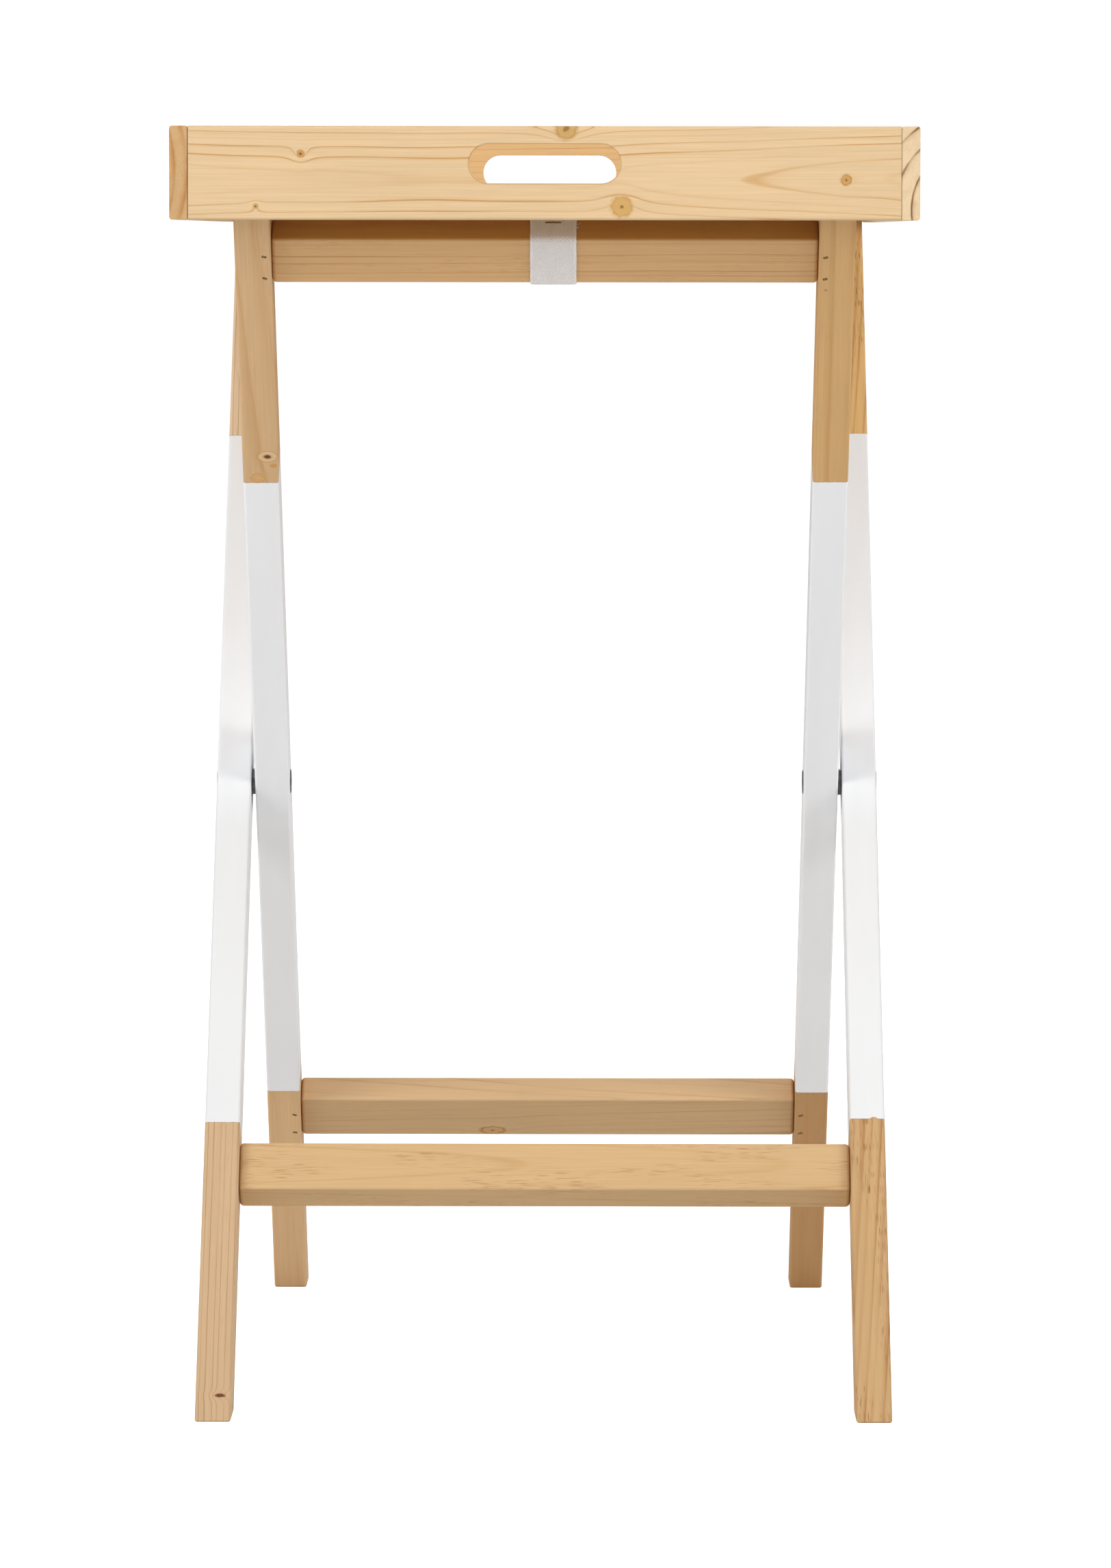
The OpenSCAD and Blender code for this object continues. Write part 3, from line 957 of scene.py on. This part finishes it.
def leg(body, side, board):
    """One leg: cut level at both ends, bored for the pivot, mortised for the rails."""
    node = body.replace("frame", "leg_left" if side < 0 else "leg_right")
    lo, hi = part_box(node)
    middle = (lo.x + hi.x) / 2
    low, high = -PIVOT_Z / math.cos(LEAN), (LEG_TOP - PIVOT_Z) / math.cos(LEAN)
    mesh = bmesh.new()
    add_bar(mesh, LEG_W, LEG_D, low, high, LEG_R, FOOT_R, underside(body) * math.tan(LEAN))
    obj = new_object(node + "_wood", mesh, leaning(body) @ Matrix.Translation((middle, 0, 0)))
    carve(obj, leg_cutter(body, side, middle))
    put(obj, body, "painted_pine", painted_wood(node + "_finish", board), node)


def rail(body, node, board):
    """One rail between two legs, rounded all over, with a tenon at each end."""
    half = half_width(body) - LEG_W
    up = leaning(body).to_3x3() @ Vector((0, 0, 1))
    lo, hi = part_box(node)
    mesh = bmesh.new()
    add_bar(mesh, RAIL_H, RAIL_T, -half, half, LEG_R, RAIL_END_R, tenon=TENON_LEN)
    obj = new_object(node + "_wood", mesh, board_axes(up, (1, 0, 0), (lo + hi) / 2))
    put(obj, body, "rail_pine", bare_wood(node + "_finish", board), node)


def brads(name, body, places, length, finish, node):
    mesh = bmesh.new()
    for axes in places:
        add_brad(mesh, axes, length)
    put(new_object(name, mesh), body, "pin_steel", finish, node)


def hex_socket(depth):
    """The cutter for a hexagon socket in a head whose face is at height 0."""
    mesh = bmesh.new()
    corners = [math.radians(60 * k) for k in range(6)]
    r = SOCKET_AF / 2 / math.cos(math.pi / 6)
    levels = ((r, -depth), (r, 0), (r + PAST, PAST))
    add_loft(mesh, [[(q * math.cos(a), q * math.sin(a), z) for a in corners] for q, z in levels])
    return mesh


def headed_pin(node, body, axes, barrel, length, finish, bore=0.0):
    """A flat head with a hexagon socket, on a barrel. Z points out of the head's face."""
    mesh = bmesh.new()
    ease = 0.35 * MM
    profile = [(barrel - ease, -length), (barrel, ease - length), (barrel, -HEAD_T)]
    profile += [(HEAD_R - ease, -HEAD_T), (HEAD_R, ease - HEAD_T), (HEAD_R, -1.6 * ease)]
    profile += [(HEAD_R - ease, -0.5 * ease), (HEAD_R - 3 * ease, 0)]
    add_lathe(mesh, profile)
    obj = new_object(node + "_metal", mesh, axes)
    carve(obj, hex_socket(SOCKET_D))
    if bore:
        hollow = bmesh.new()
        add_lathe(hollow, ((bore, -length - PAST), (bore, -HEAD_T - PAST)))
        carve(obj, hollow)
    put(obj, body, "pivot_steel", finish, node)


def pin_place(node, outward):
    """Axes at a pin's outward end, and the pin's length."""
    lo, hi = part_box(node)
    return facing(outward, hi.x if outward > 0 else lo.x), hi.x - lo.x


def washer(node, side, finish):
    """A flat washer round the sleeve, with its outer edges eased."""
    axes, thick = pin_place(node, side)
    lo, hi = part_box(node)
    outer, ease = (hi.z - lo.z) / 2, 0.3 * MM
    profile = ((SLEEVE_R, -thick), (outer - ease, -thick), (outer, ease - thick), (outer, -ease))
    mesh = bmesh.new()
    add_lathe(mesh, profile + ((outer - ease, 0), (SLEEVE_R, 0)), closed=True)
    put(new_object(node + "_metal", mesh, axes), "outer_frame", "pivot_steel", finish, node)


def pivot(side, finish):
    """The bolt, the sleeve nut it screws into, and the washer that keeps two legs apart."""
    word = "left" if side < 0 else "right"
    bolt, nut = f"pivot_bolt_{word}", f"sleeve_nut_{word}"
    axes, length = pin_place(bolt, side)
    headed_pin(bolt, "outer_frame", axes, BOLT_R, length, finish)
    axes, length = pin_place(nut, -side)
    headed_pin(nut, "outer_frame", axes, SLEEVE_R, length, finish, BOLT_R + BORE_PLAY)
    washer(f"spacer_washer_{word}", side, finish)


# ---- Strap ----


def sweep(mesh, path, side, section_at):
    """A skin along a flat path, from section_at(k)'s points: along side, and across it."""
    rings = []
    for k, point in enumerate(path):
        ahead = path[min(k + 1, len(path) - 1)] - path[max(k - 1, 0)]
        out = ahead.normalized().cross(side)
        rings.append([point + side * a + out * b for a, b in section_at(k)])
    return add_loft(mesh, rings)


def turn(centre, radius, start, end, steps=10):
    """Points of an arc in the plane across the strap, at angles in degrees."""
    y, z = centre
    angles = [math.radians(start + (end - start) * k / steps) for k in range(steps + 1)]
    return [Vector((0, y + radius * math.cos(a), z + radius * math.sin(a))) for a in angles]


def wrap_path(body):
    """The webbing's middle line on one top rail: along its top, down its lower face and under."""
    mid = rail_height(body, "top_rail")
    top, low = mid + RAIL_H / 2, mid - RAIL_H / 2 + LEG_R
    y = RAIL_T / 2 - LEG_R
    r = LEG_R + STRAP_T / 2
    level = 90 - math.degrees(LEAN)
    points = [Vector((0, -y + STRAP_TAIL, top + STRAP_T / 2))]
    points += turn((-y, top - LEG_R), r, 90, 180) + turn((-y, low), r, 180, 180 + level)
    flip = Matrix.Diagonal((1, -underside(body), 1, 1))
    return [leaning(body) @ flip @ p + Vector((STRAP_X, 0, 0)) for p in points]


def evenly(points, step):
    """The same path with points about a step apart, its corners' own points kept."""
    made = [points[0]]
    for a, b in zip(points, points[1:]):
        count = max(1, round((b - a).length / step))
        made += [a.lerp(b, k / count) for k in range(1, count + 1)]
    return made


def ribbon_section(w, t, cells=10):
    """Points round a flat ribbon with softly rounded edges."""
    outline = []
    for sign in (1, -1):
        for k in range(cells + 1):
            a = -math.cos(math.pi * k / cells)
            half = t / 2 * (1 - abs(a) ** RIBBON_SQUARE) ** 0.5 + RIBBON_EDGE
            outline.append((sign * a * w / 2, sign * half))
    return outline


def strap_widths(along):
    """The webbing's width along its length: a slow waver, and a small loop of weft at each rib."""
    waver = random.Random(7)
    first, second = waver.uniform(0, 6), waver.uniform(0, 6)
    widths = []
    for s in along:
        slow = math.sin(s / SLOW_WAVE + first) + math.sin(s / QUICK_WAVE + second)
        loops = abs(math.sin(math.pi * s / RIB))
        widths.append(STRAP_W - 0.25 * MM + (0.07 * slow + 0.35 * loops) * MM)
    return widths


def add_weave_places(mesh, rows, sections, along):
    """Keeps each point's place in the webbing, across and along it, for the weave to read."""
    where = {}
    for row, section, s in zip(rows, sections, along):
        where.update((vertex, (x, s)) for vertex, (x, _) in zip(row, section))
    layer = mesh.loops.layers.uv.new("weave")
    for face in mesh.faces:
        for corner in face.loops:
            corner[layer].uv = where[corner.vert]


def strap(finish):
    """One length of webbing over both top rails, as one piece."""
    path = evenly(wrap_path("inner_frame") + wrap_path("outer_frame")[::-1], STRAP_STEP)
    along = [0.0]
    for a, b in zip(path, path[1:]):
        along.append(along[-1] + (b - a).length)
    sections = [ribbon_section(width, STRAP_T) for width in strap_widths(along)]
    mesh = bmesh.new()
    rows = sweep(mesh, path, Vector((1, 0, 0)), lambda k: sections[k])
    add_weave_places(mesh, rows, sections, along)
    obj = new_object("strap_webbing", mesh)
    soften(obj, 60)
    obj.data.materials.append(finish)
    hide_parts("strap_front_wrap", "strap_span", "strap_rear_wrap")
    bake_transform(obj)


def stray_threads(finish):
    """Cut ends of weft that stand out from the strap's right edge, on top of the front rail."""
    chance = random.Random(5)
    top = rail_height("inner_frame", "top_rail") + RAIL_H / 2 + STRAP_T / 2
    axes = leaning("inner_frame") @ Matrix.Translation((STRAP_X + STRAP_W / 2, 0, top))
    steps = [k / 8 for k in range(9)]
    section = round_rect(THREAD_T, THREAD_T, 0.1 * MM, 2)
    mesh = bmesh.new()
    for _ in range(5):
        start = Vector((-0.8 * MM, chance.uniform(-1.5, 2.5) * MM, chance.uniform(0, 0.3) * MM))
        heading = Vector((1.0, chance.uniform(-0.8, 0.8), chance.uniform(0.0, 0.7)))
        sag = Vector((0, 0, -chance.uniform(0.5, 1.6) * MM))
        reach = chance.uniform(1.6, 3.2) * MM
        path = [start + heading * (t * reach) + sag * t * t for t in steps]
        sweep(mesh, path, Vector((0, 1, 0)), lambda k: section)
    put(new_object("strap_stray_threads", mesh, axes), "inner_frame", "webbing", finish)


def staple(body, node, finish):
    """A wire staple across the strap, with its crown pressed into the webbing."""
    half, bend = (STAPLE_W - STAPLE_WIRE) / 2, 0.9 * MM
    path = [Vector((-half, 0, -STAPLE_LEN))]
    for a in (0, 0.4, 0.8, 1.2, 1.57):
        path.append(Vector((bend - half - bend * math.cos(a), 0, bend * math.sin(a) - bend)))
    path += [Vector((-p.x, 0, p.z)) for p in reversed(path)]
    mesh = bmesh.new()
    section = round_rect(STAPLE_WIRE, 0.6 * STAPLE_WIRE, 0.25 * MM)
    sweep(mesh, path, Vector((0, 1, 0)), lambda k: section)
    y = underside(body) * (RAIL_T / 2 - STAPLE_BACK)
    top = rail_height(body, "top_rail") + RAIL_H / 2 + STRAP_T
    axes = leaning(body) @ Matrix.Translation((STRAP_X, y, top))
    put(new_object(node + "_wire", mesh, axes), body, "pin_steel", finish, node)


# ---- Tray ----


def stadium(length, height, steps=16):
    """Points round a slot with half-round ends."""
    straight, r = (length - height) / 2, height / 2
    points = []
    for sign in (1, -1):
        for k in range(steps + 1):
            a = math.pi * (k / steps - 0.5)
            points.append((sign * (straight + r * math.cos(a)), sign * r * math.sin(a)))
    return points


def add_slot_cut(mesh):
    """The cutter for a handle slot, which is a little wider inside the board than at its faces."""
    rise = SLOT_RISE - BOARD_H / 2
    half = [(SLOT_R, BOARD_T / 2 + PAST)]
    half += [(SLOT_R - inset, BOARD_T / 2 - depth) for inset, depth in arc_steps(SLOT_R)]
    rings = []
    for grow, y in half + [(grow, -y) for grow, y in reversed(half)]:
        outline = stadium(SLOT_LEN + 2 * grow, SLOT_H + 2 * grow)
        rings.append([(rise + b, y, a) for a, b in outline])
    add_loft(mesh, rings)


def add_groove_cut(mesh, inside, length):
    """The cutter for the groove that holds the bottom panel, on one face of a board."""
    depth = GROOVE_D + GROOVE_PLAY
    tall = TONGUE_T / 2 + GROOVE_PLAY
    x0, x1 = PANEL_RISE - tall, PANEL_RISE + tall
    y0, y1 = sorted((inside * (BOARD_T / 2 - depth), inside * (BOARD_T / 2 + PAST)))
    ends = (-length / 2, length / 2)
    add_loft(mesh, [[(x0, y0, z), (x1, y0, z), (x1, y1, z), (x0, y1, z)] for z in ends])


def tray_handle(end, board):
    """The front or rear board, with its slot."""
    node = "tray_handle_front" if end < 0 else "tray_handle_rear"
    lo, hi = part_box(node)
    mesh = bmesh.new()
    add_bar(mesh, BOARD_H, BOARD_T, lo.x, hi.x, BOARD_R, BUTT_R)
    obj = new_object(node + "_wood", mesh, board_axes((0, 0, 1), (1, 0, 0), (lo + hi) / 2))
    cut = bmesh.new()
    add_slot_cut(cut)
    add_groove_cut(cut, end, hi.x - lo.x + 2 * PAST)
    carve(obj, cut)
    put(obj, "tray", "tray_pine", bare_wood(node + "_finish", board), node)


def tray_side(side, board):
    """The left or right board, nailed to the handle boards."""
    node = "tray_side_left" if side < 0 else "tray_side_right"
    lo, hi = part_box(node)
    mesh = bmesh.new()
    add_bar(mesh, BOARD_H, BOARD_T, lo.y, hi.y, BOARD_R, BUTT_R)
    axes = board_axes((0, 0, 1), (0, 1, 0), (lo + hi) / 2)
    obj = new_object(node + "_wood", mesh, axes)
    cut = bmesh.new()
    add_groove_cut(cut, -side, TRAY_LEN - 2 * BOARD_T + 2 * GROOVE_D)
    for brad in corner_brads(side):
        add_brad_hole(cut, axes.inverted() @ brad)
    carve(obj, cut)
    put(obj, "tray", "tray_pine", bare_wood(node + "_finish", board), node)


def tray_panel(board):
    """The bottom panel, with a tongue all round it."""
    size = panel_hi - panel_lo
    lip = 2 * (GROOVE_D + GROOVE_PLAY)
    face, tongue = (size.x - lip, size.y - lip), (size.x, size.y)
    levels = [(*face, PANEL_T / 2), (*face, TONGUE_T / 2), (*tongue, TONGUE_T / 2)]
    levels += [(w, l, -y) for w, l, y in reversed(levels)]
    mesh = bmesh.new()
    add_loft(mesh, [[(a, y, b) for a, b in round_rect(w, l, BUTT_R)] for w, l, y in levels])
    axes = board_axes((1, 0, 0), (0, 1, 0), (panel_lo + panel_hi) / 2)
    obj = new_object("tray_bottom_panel_wood", mesh, axes)
    wood = bare_wood("tray_panel_finish", board)
    put(obj, "tray", "tray_panel", wood, "tray_bottom_panel")


# ---- Studio ----


def stage_piece(name, mesh, finish, seen_only):
    """A piece of the studio: either only seen by the camera, or only there to bounce light."""
    obj = new_object(name, mesh)
    obj.data.materials.append(finish)
    if seen_only:
        obj.visible_diffuse = obj.visible_glossy = False
        obj.visible_transmission = obj.visible_shadow = False
    else:
        obj.visible_camera = False


def pale_finish(name, grey, glow):
    """A plain matt surface of one grey, with some light of its own."""
    return Shader(name).material_with({
        "Base Color": (grey, grey, grey, 1.0),
        "Roughness": 1.0,
        "Specular IOR Level": 0.0,
        "Emission Color": (1.0, 1.0, 1.0, 1.0),
        "Emission Strength": glow,
    })


def disc(height):
    mesh = bmesh.new()
    bmesh.ops.create_circle(mesh, cap_ends=True, segments=96, radius=STUDIO_R)
    bmesh.ops.translate(mesh, verts=mesh.verts[:], vec=(0, 0, height))
    return mesh


def surroundings():
    """The floor and backdrop that the camera sees, and the hidden floor that light bounces off."""
    stage_piece("floor", disc(0), pale_finish("floor_finish", 0.35, 1.0), True)
    stage_piece("floor_bounce", disc(-FLOOR_DROP), pale_finish("bounce_finish", 0.74, 0.0), False)
    dome = bmesh.new()
    bmesh.ops.create_icosphere(dome, subdivisions=4, radius=STUDIO_R)
    stage_piece("backdrop", dome, pale_finish("backdrop_finish", 0.0, 1.05), True)


def soft_light(name, place, size, power):
    """A square soft light that aims at the pivot."""
    data = bpy.data.lights.new(name, "AREA")
    data.shape = "SQUARE"
    data.size = size
    data.energy = power
    obj = linked(name, data)
    obj.location = place
    aim = Vector((0, 0, PIVOT_Z)) - Vector(place)
    obj.rotation_euler = aim.to_track_quat("-Z", "Y").to_euler()


def studio():
    """Even light all round, with soft lights from the left, right, top and back."""
    world = bpy.data.worlds.new("even light")
    world.use_nodes = True
    background = world.node_tree.nodes["Background"]
    background.inputs["Color"].default_value = (1.0, 1.0, 1.0, 1.0)
    background.inputs["Strength"].default_value = EVEN_LIGHT
    bpy.context.scene.world = world
    bpy.context.scene.view_settings.view_transform = "Standard"
    for light in LIGHTS:
        soft_light(*light)
    surroundings()


def camera():
    """The camera: just below the tray, a little right of its middle, looking slightly down."""
    data = bpy.data.cameras.new("camera")
    data.lens = LENS_MM
    data.sensor_width = 36
    data.clip_end = 200
    obj = linked("camera", data)
    aim = Matrix.Rotation(CAMERA_TURN, 4, "Z") @ Matrix.Rotation(math.pi / 2 - CAMERA_DIP, 4, "X")
    roll = Matrix.Rotation(CAMERA_ROLL, 4, "Z")
    obj.matrix_world = Matrix.Translation(CAMERA_PLACE) @ aim @ roll
    bpy.context.scene.camera = obj


# ---- The table ----


def build_tray(pin_finish):
    tray_handle(-1, TRAY_FRONT)
    tray_handle(1, TRAY_REAR)
    tray_side(-1, TRAY_LEFT)
    tray_side(1, TRAY_RIGHT)
    tray_panel(TRAY_PANEL)
    places = corner_brads(-1) + corner_brads(1)
    brads("tray_corner_brads", "tray", places, TRAY_BRAD_LEN, pin_finish, "tray_corner_pins")


def build_stand(pin_finish, pivot_finish):
    leg("outer_frame", -1, OUTER_LEFT)
    leg("outer_frame", 1, OUTER_RIGHT)
    leg("inner_frame", -1, INNER_LEFT)
    leg("inner_frame", 1, INNER_RIGHT)
    rail("outer_frame", "outer_top_rail", OUTER_TOP)
    rail("outer_frame", "outer_bottom_rail", OUTER_BOTTOM)
    rail("inner_frame", "inner_top_rail", INNER_TOP)
    rail("inner_frame", "inner_bottom_rail", INNER_BOTTOM)
    for body in ("outer_frame", "inner_frame"):
        name, node = body.replace("frame", "rail_brads"), body.replace("frame", "rail_pins")
        places = [leaning(body) @ axes for side in (-1, 1) for axes in rail_brads(body, side)]
        brads(name, body, places, RAIL_BRAD_LEN, pin_finish, node)
    for side in (-1, 1):
        pivot(side, pivot_finish)


def build_strap(pin_finish):
    strap(herringbone("webbing_finish"))
    stray_threads(cotton_thread("thread_finish"))
    staple("inner_frame", "strap_staple_front", pin_finish)
    staple("outer_frame", "strap_staple_rear", pin_finish)


pin_metal = dull_metal("pin_finish", (112, 88, 54), (142, 116, 76), 0.3, 0.55)
pivot_metal = dull_metal("pivot_finish", (104, 102, 102), (132, 130, 129), 0.85, 0.42)
camera()
studio()
build_tray(pin_metal)
build_stand(pin_metal, pivot_metal)
build_strap(pin_metal)
